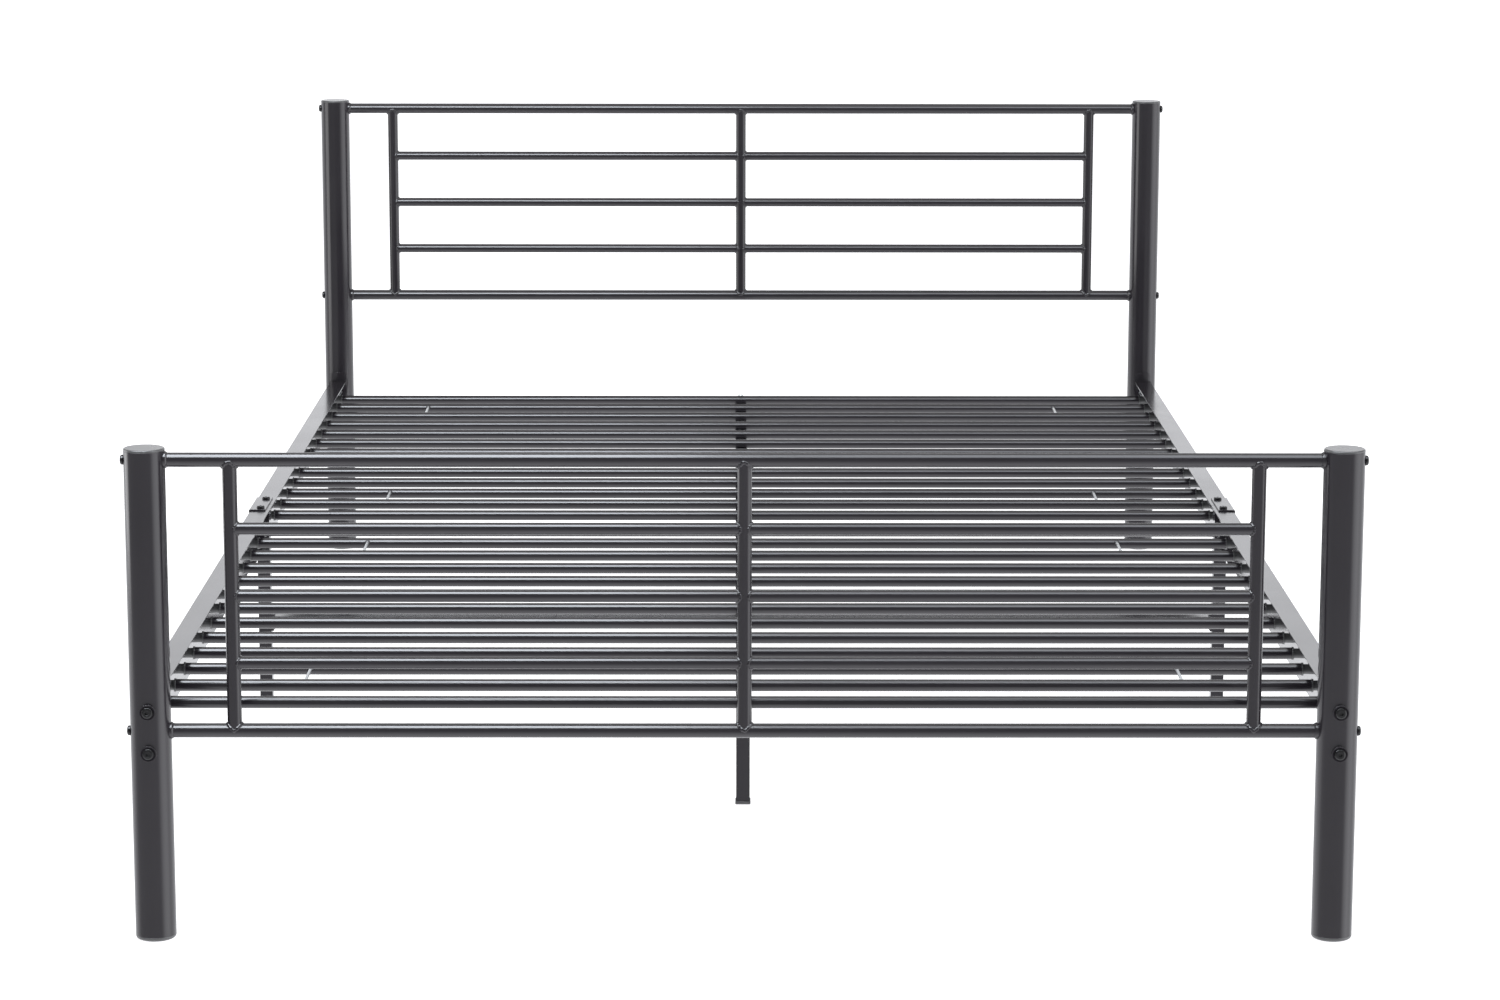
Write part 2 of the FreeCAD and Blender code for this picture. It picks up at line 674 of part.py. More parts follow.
# The middle leg's bolt also passes the floor of the sleeve inside the beam.
JOINER_LIFT = {"foot": 0.0, "head": 0.0, "middle": size("plug_clearance") + size("beam_wall")}
CENTRE_LEG_PLATE = size("end_plate_wall")
for place, y in CENTRE_LEG_PLACES.items():
    name = "centre_leg_%s" % place
    shape = leg_shape(BEAM_BOTTOM - CENTRE_LEG_PLATE)
    top_plate = block(size("leg_width"), 2 * size("leg_width"), CENTRE_LEG_PLATE,
                      0, 0, BEAM_BOTTOM - CENTRE_LEG_PLATE)
    shape = shape.fuse(top_plate)
    shape = upright_hole(shape, size("bolt_width"), 0, 0, BEAM_BOTTOM - 2 * CENTRE_LEG_PLATE,
                         BEAM_BOTTOM + 1)
    keep(feature(name, shape, Placement(Vector(0, y, 0), UPRIGHT)), name)

# ---------------------------------------------------------------------------
# The frame under the middle joint: a bracket and a leg on each side, a crossbar
# ---------------------------------------------------------------------------
LEG_BOLT_LEVEL = RAIL_TOP - size("leg_bolt_drop")
BRACKET_TOP = RAIL_TOP - size("rail_wall")
LEG_TOP = BRACKET_TOP - size("leg_bracket_wall") - size("leg_top_gap")


def make_leg_bracket(side):
    """An angle inside the rails that bridges their seam, with two cheeks that hold the leg."""
    name = "leg_bracket_%s" % side
    sign = SIDES[side]
    wall = size("leg_bracket_wall")
    length = size("leg_bracket_length")
    width = size("rail_width") - size("rail_wall")
    face = sign * (WEB_INNER - wall / 2)
    flange = block(width, length, wall, sign * (WEB_INNER - width / 2), 0, BRACKET_TOP - wall)
    web = block(wall, length, BRACKET_TOP - RAIL_BOTTOM, face, 0, RAIL_BOTTOM)
    shape = flange.fuse(web)
    cheek_wall = size("leg_cheek_wall")
    cheek_width = size("leg_width")
    for direction in (-1, 1):
        cheek = block(cheek_width, cheek_wall, size("leg_cheek_depth"),
                      sign * (WEB_INNER - wall - cheek_width / 2),
                      direction * (size("leg_width") + cheek_wall) / 2,
                      BRACKET_TOP - size("leg_cheek_depth"))
        shape = shape.fuse(cheek)
    radius = (size("bolt_width") + size("hole_clearance")) / 2
    reach = 3 * size("leg_width")
    shape = shape.cut(Part.makeCylinder(
        radius, reach, Vector(sign * LEG_PLACE, -reach / 2, LEG_BOLT_LEVEL), Vector(0, 1, 0)))
    for direction in (-1, 1):
        screw_y = direction * size("screw_spacing") / 2
        shape = upright_hole(shape, size("screw_width"), sign * HALF_WIDE, screw_y,
                             BRACKET_TOP - 2 * wall, BRACKET_TOP + wall)
        shape = shape.cut(Part.makeCylinder(
            size("screw_width") / 2, 4 * wall, Vector(face - 2 * wall, screw_y, SIDE_SCREW_LEVEL),
            Vector(1, 0, 0)))
    keep(feature(name, shape.removeSplitter()), name)


CROSSBAR_AXIS = size("crossbar_top") - size("leg_width") / 2


def make_side_leg(side):
    name = "middle_leg_%s" % side
    shape = leg_shape(LEG_TOP)
    radius = (size("bolt_width") + size("hole_clearance")) / 2
    reach = 2 * size("leg_width")
    shape = shape.cut(Part.makeCylinder(
        radius, reach, Vector(0, -reach / 2, LEG_BOLT_LEVEL), Vector(0, 1, 0)))
    shape = shape.cut(Part.makeCylinder(
        radius, reach, Vector(-reach / 2, 0, CROSSBAR_AXIS), Vector(1, 0, 0)))
    keep(feature(name, shape, Placement(Vector(SIDES[side] * LEG_PLACE, 0, 0), UPRIGHT)), name)


for side in SIDES:
    make_leg_bracket(side)
    make_side_leg(side)


def make_crossbar(side):
    """Half of the crossbar: welded to the middle leg, and plated where it bolts to a side leg."""
    name = "crossbar_%s" % side
    plate = size("end_plate_wall")
    inner = size("leg_width") / 2
    outer = LEG_PLACE - size("leg_width") / 2
    width = size("leg_width")
    bore = width - 2 * size("leg_wall")
    length = outer - inner
    middle = SIDES[side] * (outer + inner) / 2
    low = CROSSBAR_AXIS - width / 2
    shape = block(length, width, width, middle, 0, low).cut(
        block(length, bore, bore, middle, 0, low + size("leg_wall")))
    tab = block(plate, width, size("end_plate_height"), SIDES[side] * (outer - plate / 2), 0,
                CROSSBAR_AXIS - size("end_plate_height") / 2)
    shape = shape.fuse(tab)
    start = Vector(SIDES[side] * outer - 2 * plate, 0, CROSSBAR_AXIS)
    radius = (size("bolt_width") + size("hole_clearance")) / 2
    shape = shape.cut(Part.makeCylinder(radius, 4 * plate, start, Vector(1, 0, 0)))
    keep(feature(name, shape.removeSplitter()), name)


for side in SIDES:
    make_crossbar(side)


def glide_shape():
    """A moulded foot for a square leg: a plug inside the tube and a wider sole."""
    bore = size("leg_width") - 2 * size("leg_wall") - 2 * size("plug_clearance")
    sole = size("leg_width") + 2 * size("glide_flange")
    base = block(sole, sole, LEG_BASE)
    edges = [e for e in base.Edges if e.BoundBox.ZLength < 1e-6 and e.BoundBox.ZMax < 1e-6]
    base = base.makeChamfer(size("glide_chamfer"), edges)
    plug = block(bore, bore, size("glide_depth"), 0, 0, LEG_BASE)
    inner = bore - 2 * size("plug_wall")
    return base.fuse(plug).cut(block(inner, inner, size("glide_depth"), 0, 0, LEG_BASE))


LEG_SPOTS = [(0.0, y) for y in CENTRE_LEG_PLACES.values()] + [
    (sign * LEG_PLACE, 0.0) for sign in SIDES.values()]
group("leg_glides", glide_shape(), [Placement(Vector(x, y, 0), UPRIGHT) for x, y in LEG_SPOTS])

# ---------------------------------------------------------------------------
# Fasteners. Each master stands with its seat at z = 0 and its shank below.
# ---------------------------------------------------------------------------

# A pan head as shares of its half width and height, the share of the height that its
# socket leaves, and the taper at the shank's tip as a share of the shank's width
PAN_HEAD = [(1.0, 0.0), (1.0, 0.45), (0.92, 0.8), (0.7, 1.0), (0.0, 1.0)]
SOCKET_FLOOR = 0.3
TIP_TAPER = 0.1


def bolt_shape(shank, length, head, rise, recess):
    """A pan-head bolt with a hexagon socket."""
    taper = TIP_TAPER * shank
    body = spun([(0, -length), (shank / 2 - taper, -length), (shank / 2, taper - length),
                 (shank / 2, 0)] + [(w * head / 2, h * rise) for w, h in PAN_HEAD])
    corner = recess / math.sqrt(3)
    hexagon = [(corner * math.cos(math.pi / 3 * i), corner * math.sin(math.pi / 3 * i),
                SOCKET_FLOOR * rise) for i in range(6)]
    socket = Part.Face(outline(hexagon)).extrude(Vector(0, 0, rise))
    return body.cut(socket)


def nut_shape(width, tall, bore):
    """A hexagon nut from z = 0 up."""
    corner = width / math.sqrt(3)
    hexagon = [(corner * math.cos(math.pi / 3 * i), corner * math.sin(math.pi / 3 * i), 0)
               for i in range(6)]
    body = Part.Face(outline(hexagon)).extrude(Vector(0, 0, tall))
    return body.cut(Part.makeCylinder(bore / 2, tall))


def facing(direction):
    """The turn that takes +Z to a direction."""
    return Rotation(Vector(0, 0, 1), direction)


BOLT = size("bolt_width")
WASHER_SEAT = POST_RADIUS + size("washer_height")
NUT_SEAT = POST_RADIUS + size("bracket_wall")


def washer_shape():
    """A dished washer, coped underneath to the round of the post."""
    radius = size("washer_width") / 2
    rise = size("washer_height")
    lip = size("washer_lip")
    cup = spun([(BOLT / 2, -rise), (radius, -rise), (radius, lip), (radius - lip, lip),
                (size("bolt_head_width") / 2 + size("washer_gap"), 0), (BOLT / 2, 0)])
    post = Part.makeCylinder(POST_RADIUS, 4 * radius, Vector(-2 * radius, 0, -WASHER_SEAT),
                             Vector(1, 0, 0))
    return cup.cut(post)


def along_bed(distance):
    """Places on both rail bolts of every post, a distance out from the post's axis."""
    places = []
    for end, x, y in POST_SPOTS:
        for level in BOLT_LEVELS:
            outward = Vector(0, ENDS[end], 0)
            places.append(Placement(Vector(x, y + ENDS[end] * distance, level), facing(outward)))
    return places


group("rail_bolts", bolt_shape(BOLT, WASHER_SEAT + NUT_SEAT + size("nut_height") + size("bolt_end"),
                               size("bolt_head_width"), size("bolt_head_height"),
                               size("bolt_recess")), along_bed(WASHER_SEAT))


def lies_level(turn):
    """True where a turn lays the own X, along which a washer is coped, level."""
    return abs(turn.multVec(Vector(1, 0, 0)).z) < 0.5


def washer_places():
    """The washers' coped side is turned so that its round runs up the post."""
    spin = Rotation(Vector(0, 0, 1), 90)
    return [place.multiply(Placement(Vector(), spin)) if lies_level(place.Rotation) else place
            for place in along_bed(WASHER_SEAT)]


group("rail_bolt_washers", washer_shape(), washer_places())


def across_bed(distance):
    """Places on both panel bolts of every post, a distance out from the post's axis."""
    places = []
    for end, x, y in POST_SPOTS:
        for level in PANEL_LEVELS[end]:
            sign = 1 if x > 0 else -1
            places.append(Placement(Vector(x + sign * distance, y, level), facing(Vector(sign, 0, 0))))
    return places


INSERT_LENGTH = size("insert_length")
TUBE_BORE = size("tube_width") - 2 * size("tube_wall")
SADDLE_SEAT = POST_RADIUS + size("saddle_length")
insert = spun([(BOLT / 2, 0), (TUBE_BORE / 2, 0), (TUBE_BORE / 2, INSERT_LENGTH),
               (BOLT / 2, INSERT_LENGTH)])
group("panel_bolts", bolt_shape(BOLT, POST_RADIUS + SADDLE_SEAT + INSERT_LENGTH,
                                size("side_head_width"), size("side_head_height"),
                                size("bolt_recess")), across_bed(POST_RADIUS))
group("panel_rail_inserts", insert, across_bed(-SADDLE_SEAT - INSERT_LENGTH))
SADDLE_RISE = size("saddle_length")


def saddle_shape():
    """A flared ferrule, coped to the post on one face and flat against the rail on the other."""
    wide = size("saddle_width") / 2
    narrow = size("tube_width") / 2
    hole = (BOLT + size("hole_clearance")) / 2
    reach = wide / 2
    ring = spun([(hole, -reach), (wide, -reach), (wide, size("saddle_rim")), (narrow, SADDLE_RISE),
                 (hole, SADDLE_RISE)])
    post = Part.makeCylinder(POST_RADIUS, 4 * wide, Vector(0, -2 * wide, -POST_RADIUS),
                             Vector(0, 1, 0))
    return ring.cut(post)


def saddle_places():
    """The saddles, each turned so that its coped round runs up the post."""
    places = []
    for end, x, y in POST_SPOTS:
        for level in PANEL_LEVELS[end]:
            sign = 1 if x > 0 else -1
            turn = facing(Vector(-sign, 0, 0))
            if not lies_level(turn):
                turn = turn.multiply(Rotation(Vector(0, 0, 1), 90))
            places.append(Placement(Vector(x - sign * POST_RADIUS, y, level), turn))
    return places


group("panel_saddles", saddle_shape(), saddle_places())

PLATE_SEAT = RAIL_TOP + size("plate_wall")
screw = bolt_shape(size("screw_width"), size("screw_length"), size("screw_head_width"),
                   size("screw_head_height"), 0.6 * size("screw_width"))
top_screws = [
    Placement(Vector(sign * HALF_WIDE, direction * size("screw_spacing") / 2, PLATE_SEAT), UPRIGHT)
    for sign in SIDES.values() for direction in (-1, 1)]
side_screws = [
    Placement(Vector(sign * RAIL_OUTER, direction * size("screw_spacing") / 2, SIDE_SCREW_LEVEL),
              facing(Vector(sign, 0, 0)))
    for sign in SIDES.values() for direction in (-1, 1)]
group("rail_joint_screws", screw, top_screws + side_screws)
joiner_screw = bolt_shape(size("beam_screw_width"), 2 * size("beam_wall") + size("screw_head_height"),
                          size("beam_screw_head_width"), size("beam_screw_head_height"),
                          0.5 * size("beam_screw_width"))
group("joiner_screws", joiner_screw, [
    Placement(Vector(0, direction * JOINER_SCREW_Y, BEAM_BOTTOM), UPSIDE_DOWN)
    for direction in (-1, 1)])

LEG_BOLT_SEAT = size("leg_width") / 2 + size("leg_cheek_wall")
leg_bolt = bolt_shape(BOLT, 2 * LEG_BOLT_SEAT + size("nut_height"), size("side_head_width"),
                      size("side_head_height"), size("bolt_recess"))
group("leg_bolts", leg_bolt, [
    Placement(Vector(sign * LEG_PLACE, -LEG_BOLT_SEAT, LEG_BOLT_LEVEL), facing(Vector(0, -1, 0)))
    for sign in SIDES.values()])
leg_nuts = [
    Placement(Vector(sign * LEG_PLACE, LEG_BOLT_SEAT, LEG_BOLT_LEVEL), facing(Vector(0, 1, 0)))
    for sign in SIDES.values()]
NUT = size("nut_height")
centre_nuts = [Placement(Vector(0, y, BEAM_BOTTOM - CENTRE_LEG_PLATE - NUT), UPRIGHT)
               for y in CENTRE_LEG_PLACES.values()]
CROSSBAR_NUT = LEG_PLACE - size("leg_width") / 2 - size("end_plate_wall") - NUT
crossbar_nuts = [
    Placement(Vector(sign * CROSSBAR_NUT, 0, CROSSBAR_AXIS), facing(Vector(sign, 0, 0)))
    for sign in SIDES.values()]
group("hex_nuts", nut_shape(size("nut_width"), NUT, BOLT),
      along_bed(-NUT_SEAT - NUT) + leg_nuts + centre_nuts + crossbar_nuts)

# The beam hangs from its end slats by pan-head screws, and each centre leg from the beam.
beam_screw = bolt_shape(size("beam_screw_width"), size("slat_width") + 2 * size("beam_wall"),
                        size("beam_screw_head_width"), size("beam_screw_head_height"),
                        0.5 * size("beam_screw_width"))
group("beam_screws", beam_screw, [
    Placement(Vector(0, y, SLAT_AXIS + SLAT_RADIUS), UPRIGHT)
    for end in ENDS for y in (SLAT_PLACES[end][0], SLAT_PLACES[end][-1])])
centre_bolt = bolt_shape(BOLT, size("beam_wall") + CENTRE_LEG_PLATE + size("nut_height"),
                         size("nut_width"), size("side_head_height"), size("bolt_recess"))
group("centre_leg_bolts", centre_bolt, [
    Placement(Vector(0, y, BEAM_BOTTOM + size("beam_wall") + JOINER_LIFT[place]), UPRIGHT)
    for place, y in CENTRE_LEG_PLACES.items()])
crossbar_bolt = bolt_shape(BOLT, size("leg_width") + size("end_plate_wall") + size("nut_height"),
                           size("side_head_width"), size("side_head_height"), size("bolt_recess"))
group("crossbar_bolts", crossbar_bolt, [
    Placement(Vector(sign * (LEG_PLACE + size("leg_width") / 2), 0, CROSSBAR_AXIS),
              facing(Vector(sign, 0, 0)))
    for sign in SIDES.values()])

# ---------------------------------------------------------------------------
# Check every object, then write each sub-part to its own file
# ---------------------------------------------------------------------------
doc.recompute()
for thing in doc.Objects:
    if "Invalid" in thing.State or "Error" in thing.State:
        raise RuntimeError("%s failed: %s" % (thing.Label, thing.State))
for thing in parts:
    if thing.Shape.isNull() or not thing.Shape.isValid():
        raise RuntimeError("%s has no valid shape" % thing.Label)
for thing in parts:
    thing.Shape.exportStep("parts/%s.step" % thing.Label)
print("%d sub-parts, %d solids" % (len(parts), sum(len(p.Shape.Solids) for p in parts)))
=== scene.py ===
# %% [markdown]
# # A bolt-together metal bed frame
#
# The frame is welded and bolted steel tube under a dark powder coat. Its
# shape, to the last screw, comes ready-made from the CAD model, so this
# lesson is about what CAD leaves out: the weld beads that hold the tubes
# together, the finish on each kind of part, and a studio to see them in.
# Everything is in metres. X runs across the bed, Y from the footboard to
# the headboard, and Z up from the floor.

import json
import math
import random

import bpy
import bmesh
from mathutils import Matrix, Vector


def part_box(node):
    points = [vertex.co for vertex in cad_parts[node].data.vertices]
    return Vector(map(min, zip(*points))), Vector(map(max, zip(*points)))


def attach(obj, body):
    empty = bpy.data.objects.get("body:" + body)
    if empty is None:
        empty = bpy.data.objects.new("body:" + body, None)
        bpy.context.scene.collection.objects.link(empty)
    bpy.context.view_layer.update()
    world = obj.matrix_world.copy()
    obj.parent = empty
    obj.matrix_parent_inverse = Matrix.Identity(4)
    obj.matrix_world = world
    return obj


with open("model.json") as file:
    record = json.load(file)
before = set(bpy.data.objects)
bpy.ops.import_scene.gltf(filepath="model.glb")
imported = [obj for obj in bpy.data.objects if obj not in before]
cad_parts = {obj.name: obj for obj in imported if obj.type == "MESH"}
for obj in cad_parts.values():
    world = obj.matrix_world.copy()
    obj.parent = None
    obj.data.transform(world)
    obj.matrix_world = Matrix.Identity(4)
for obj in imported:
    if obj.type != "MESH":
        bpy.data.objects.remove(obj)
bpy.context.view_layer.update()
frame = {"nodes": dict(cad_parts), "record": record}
nodes = frame["nodes"]

# %% [markdown]
# ## The marks that every finish shares
#
# A finish looks real when it varies at the right scale. Powder coat is
# melted dust: it sets with a faint skin like orange peel, whose bumps are one
# or two millimetres apart, and with a finer grain on top. Both are worked out
# from the object's own coordinates, in metres, so that the same skin covers a
# 40 mm post and a 13 mm slat. Several finishes need it, so it is a node group
# that is built once and placed in each material with its own values.

# %% A node group with named sockets
def new_group(name, inputs, outputs):
    """A shader node group whose inputs are {name: default} and outputs {name: type}."""
    group = bpy.data.node_groups.new(name, "ShaderNodeTree")
    for socket, default in inputs.items():
        kind = "NodeSocketVector" if default is None else "NodeSocketFloat"
        made = group.interface.new_socket(socket, in_out="INPUT", socket_type=kind)
        if default is not None:
            made.default_value = default
    for socket, kind in outputs.items():
        group.interface.new_socket(socket, in_out="OUTPUT", socket_type=kind)
    return group, group.nodes.new("NodeGroupInput"), group.nodes.new("NodeGroupOutput")


def math_node(tree, operation, first, second, clamp=False):
    """A Math node on two values, each a socket or a number."""
    node = tree.nodes.new("ShaderNodeMath")
    node.operation = operation
    node.use_clamp = clamp
    for socket, value in zip(node.inputs, (first, second)):
        if isinstance(value, (int, float)):
            socket.default_value = value
        else:
            tree.links.new(value, socket)
    return node.outputs[0]


def noise_node(tree, where, scale, detail=2.0, roughness=0.5):
    """A Noise texture on a coordinate, its scale a number or a socket."""
    node = tree.nodes.new("ShaderNodeTexNoise")
    node.inputs["Detail"].default_value = detail
    node.inputs["Roughness"].default_value = roughness
    tree.links.new(where, node.inputs["Vector"])
    if isinstance(scale, (int, float)):
        node.inputs["Scale"].default_value = scale
    else:
        tree.links.new(scale, node.inputs["Scale"])
    return node.outputs["Fac"]


# %% The skin of a sprayed or moulded surface
PATCHES_PER_METRE = 7.0


def build_skin_group():
    """Height and tone of a skin: peel bumps, a fine grain, and slow patches."""
    group, given, out = new_group(
        "sprayed_skin",
        {"Where": None, "Bumps per metre": 600.0, "Grain per metre": 4000.0, "Grain share": 0.25},
        {"Height": "NodeSocketFloat", "Patch": "NodeSocketFloat", "Grain": "NodeSocketFloat"})
    where = given.outputs["Where"]
    peel = noise_node(group, where, given.outputs["Bumps per metre"], detail=1.0,
                      roughness=0.4)
    grain = noise_node(group, where, given.outputs["Grain per metre"], detail=2.0,
                       roughness=0.6)
    patch = noise_node(group, where, PATCHES_PER_METRE, detail=3.0, roughness=0.55)
    grain_part = math_node(group, "MULTIPLY", grain, given.outputs["Grain share"])
    height = math_node(group, "ADD", peel, grain_part)
    group.links.new(height, out.inputs["Height"])
    group.links.new(patch, out.inputs["Patch"])
    group.links.new(grain, out.inputs["Grain"])
    return group


skin_group = build_skin_group()
print("node group", skin_group.name, "with", len(skin_group.nodes), "nodes")

# %% [markdown]
# A frame that stands in a room gathers a little dust. It settles on faces that
# look up, never on the undersides, and it is patchy. The mask is the upward
# part of the normal times a soft noise. It is faint here, because the frame
# is new.

# %% Settled dust
DUST_SLOPE = 0.55           # no dust where the upward part of the normal is less
DUST_PATCHES_PER_METRE = 45.0


def build_dust_group():
    """A mask, 0 to 1, of dust on faces that look up."""
    group, given, out = new_group(
        "settled_dust", {"Where": None, "Amount": 0.2}, {"Dust": "NodeSocketFloat"})
    facing = group.nodes.new("ShaderNodeNewGeometry")
    split = group.nodes.new("ShaderNodeSeparateXYZ")
    group.links.new(facing.outputs["Normal"], split.inputs[0])
    upward = math_node(group, "SUBTRACT", split.outputs["Z"], DUST_SLOPE, clamp=True)
    patches = noise_node(group, given.outputs["Where"], DUST_PATCHES_PER_METRE, detail=4.0,
                         roughness=0.6)
    patchy = math_node(group, "MULTIPLY", upward, patches)
    dust = math_node(group, "MULTIPLY", patchy, given.outputs["Amount"], clamp=True)
    group.links.new(dust, out.inputs["Dust"])
    return group


dust_group = build_dust_group()
print("node group", dust_group.name, "with", len(dust_group.nodes), "nodes")

# %% [markdown]
# ## The finishes
#
# Each finish is one material. A small recipe function places the skin and the
# dust, mixes the colour from a deep and a light tone of the same paint, and
# moves the roughness a little with the patches. It also softens the light on
# sharp edges, where a coat runs round the corner. What stays the same all over
# a surface, such as how metallic it is, is set straight on the shader.

# %% A recipe for a coated surface
DUST_COLOUR = (0.42, 0.40, 0.37, 1)
ROUGHNESS_SPREAD = 0.16     # between the smoothest patch and the roughest
EDGE_ROUND = 0.0006         # metres
TONE_LIMITS = (0.3, 0.7)    # of the mixed noise, for the deep tone and the light one
PATCH_SHARE = 0.6           # the rest of the mix is grain
DUST_ROUGHNESS = 0.4


def coated(name, deep, light, metallic, roughness, bump, bumps_per_metre, dust,
           grain_per_metre=4000.0, grain_share=0.25):
    """A material of a sprayed, plated or moulded skin."""
    material = bpy.data.materials.new(name)
    material.use_nodes = True
    tree = material.node_tree
    shader = tree.nodes["Principled BSDF"]
    shader.inputs["Metallic"].default_value = metallic
    place = tree.nodes.new("ShaderNodeTexCoord")
    where = place.outputs["Object"]

    skin = tree.nodes.new("ShaderNodeGroup")
    skin.node_tree = skin_group
    skin.inputs["Bumps per metre"].default_value = bumps_per_metre
    skin.inputs["Grain per metre"].default_value = grain_per_metre
    skin.inputs["Grain share"].default_value = grain_share
    tree.links.new(where, skin.inputs["Where"])
    settled = tree.nodes.new("ShaderNodeGroup")
    settled.node_tree = dust_group
    settled.inputs["Amount"].default_value = dust
    tree.links.new(where, settled.inputs["Where"])

    tones = tree.nodes.new("ShaderNodeValToRGB")
    for stop, position, tone in zip(tones.color_ramp.elements, TONE_LIMITS, (deep, light)):
        stop.position = position
        stop.color = (*tone, 1)
    patch = math_node(tree, "MULTIPLY", skin.outputs["Patch"], PATCH_SHARE)
    grain = math_node(tree, "MULTIPLY", skin.outputs["Grain"], 1 - PATCH_SHARE)
    mixed = math_node(tree, "ADD", patch, grain)
    tree.links.new(mixed, tones.inputs["Fac"])
    dusty = tree.nodes.new("ShaderNodeMix")
    dusty.data_type = "RGBA"
    dusty.inputs["B"].default_value = DUST_COLOUR
    tree.links.new(settled.outputs["Dust"], dusty.inputs["Factor"])
    tree.links.new(tones.outputs["Color"], dusty.inputs["A"])
    tree.links.new(dusty.outputs["Result"], shader.inputs["Base Color"])

    spread = math_node(tree, "MULTIPLY", skin.outputs["Patch"], ROUGHNESS_SPREAD)
    rough = math_node(tree, "ADD", spread, roughness - ROUGHNESS_SPREAD / 2)
    matt = math_node(tree, "MULTIPLY", settled.outputs["Dust"], DUST_ROUGHNESS)
    rough = math_node(tree, "ADD", rough, matt, clamp=True)
    tree.links.new(rough, shader.inputs["Roughness"])

    relief = tree.nodes.new("ShaderNodeBump")
    relief.inputs["Strength"].default_value = 1.0
    relief.inputs["Distance"].default_value = bump
    tree.links.new(skin.outputs["Height"], relief.inputs["Height"])
    rounded = tree.nodes.new("ShaderNodeBevel")
    rounded.samples = 4
    rounded.inputs["Radius"].default_value = EDGE_ROUND
    tree.links.new(rounded.outputs["Normal"], relief.inputs["Normal"])
    tree.links.new(relief.outputs["Normal"], shader.inputs["Normal"])
    return material


# %% [markdown]
# The frame's coat is a satin anthracite. Under a broad light it shines cold and
# bright in a narrow line along each tube, and stays nearly black beside it.
# So the colour is very dark, and the gloss does the rest.

# %% The frame's powder coat
frame_coat = coated("anthracite_powder_coat", deep=(0.0165, 0.0145, 0.0185),
                    light=(0.0225, 0.0200, 0.0250), metallic=0.0, roughness=0.17,
                    bump=0.000003, bumps_per_metre=620.0, dust=0.03)

# %% [markdown]
# Caps, post feet, leg glides and slat plugs are moulded polypropylene in a
# lighter grey. The mould leaves an even texture, finer than the coat's skin
# and a little deeper.

# %% Moulded plastic
plug_plastic = coated("grey_moulded_plastic", deep=(0.070, 0.071, 0.074),
                      light=(0.088, 0.089, 0.092), metallic=0.0, roughness=0.27,
                      bump=0.000022, bumps_per_metre=1800.0, dust=0.08,
                      grain_per_metre=7000.0, grain_share=0.6)

# %% [markdown]
# The bolts and the screws of the rail joints are blackened steel. The black
# film is thin, so they are darker and glossier than the frame, with a metal
# shine.

# %% Blackened fasteners
black_steel = coated("blackened_fastener_steel", deep=(0.006, 0.006, 0.007),
                     light=(0.012, 0.012, 0.013), metallic=0.3, roughness=0.14,
                     bump=0.000006, bumps_per_metre=2600.0, dust=0.0,
                     grain_per_metre=9000.0, grain_share=0.5)

# %% [markdown]
# Nuts, inserts, tie rods, the beam's joiner and its screws are zinc plated:
# pale, a little blue, with the clouded patches of the passivation bath.

# %% Zinc plate
zinc_plate = coated("bright_zinc_plate", deep=(0.46, 0.48, 0.50),
                    light=(0.60, 0.61, 0.60), metallic=1.0, roughness=0.34,
                    bump=0.000010, bumps_per_metre=2200.0, dust=0.0,
                    grain_per_metre=8000.0, grain_share=0.5)

# %% [markdown]
# Every CAD node already names the slot of its finish, so the finishes go on
# by slot.

# %% Put the finishes on
FINISHES = {
    "frame_coat": frame_coat,
    "moulded_plastic": plug_plastic,
    "black_fastener": black_steel,
    "zinc_steel": zinc_plate,
}
slot_of = {row["node"]: row["material_slot"] for row in frame["record"]["subparts"]}
for name, node in nodes.items():
    finish = FINISHES[slot_of[name]]
    if not node.material_slots:
        node.data.materials.append(finish)
    for place in node.material_slots:
        place.material = finish
for slot, finish in FINISHES.items():
    print(finish.name, "on", sum(slot_of[name] == slot for name in nodes), "nodes")

# %% [markdown]
# ## The welds
#
# A bar meets an upright in a curved line: the bar's round end, coped to the
# round of the tube it touches. The welder runs a bead along that line, and
# the powder coat covers it, which leaves a soft raised collar with faint
# ripples. CAD has no bead, so each one is built here as a closed ring that
# follows the line, a little lower than it is wide.

# %% A weld bead round a tube that butts against another
BEAD_STEPS = 56
BEAD_SIDES = 10
BEAD_FLATNESS = 0.75        # height of a bead as a share of its width
RIPPLE = 0.16               # swell of each ripple, as a share of the bead
RIPPLES = 13                # round one joint
UNEVEN = 0.05


def joint_line(centre, along, out, branch, trunk, steps=BEAD_STEPS):
    """Points on the line where a branch tube leaves a trunk tube.

    centre is where the two axes cross, along is the trunk's direction and out
    the branch's. Returns each point with the outward direction of its fillet.
    """
    side = along.cross(out)
    line = []
    for i in range(steps):
        angle = math.tau * i / steps
        flat = along * math.cos(angle) + side * math.sin(angle)
        lift = math.sqrt(max(trunk ** 2 - (branch * math.sin(angle)) ** 2, 0.0))
        point = centre + flat * branch + out * lift
        trunk_normal = (side * branch * math.sin(angle) + out * lift).normalized()
        line.append((point, (flat + trunk_normal).normalized()))
    return line


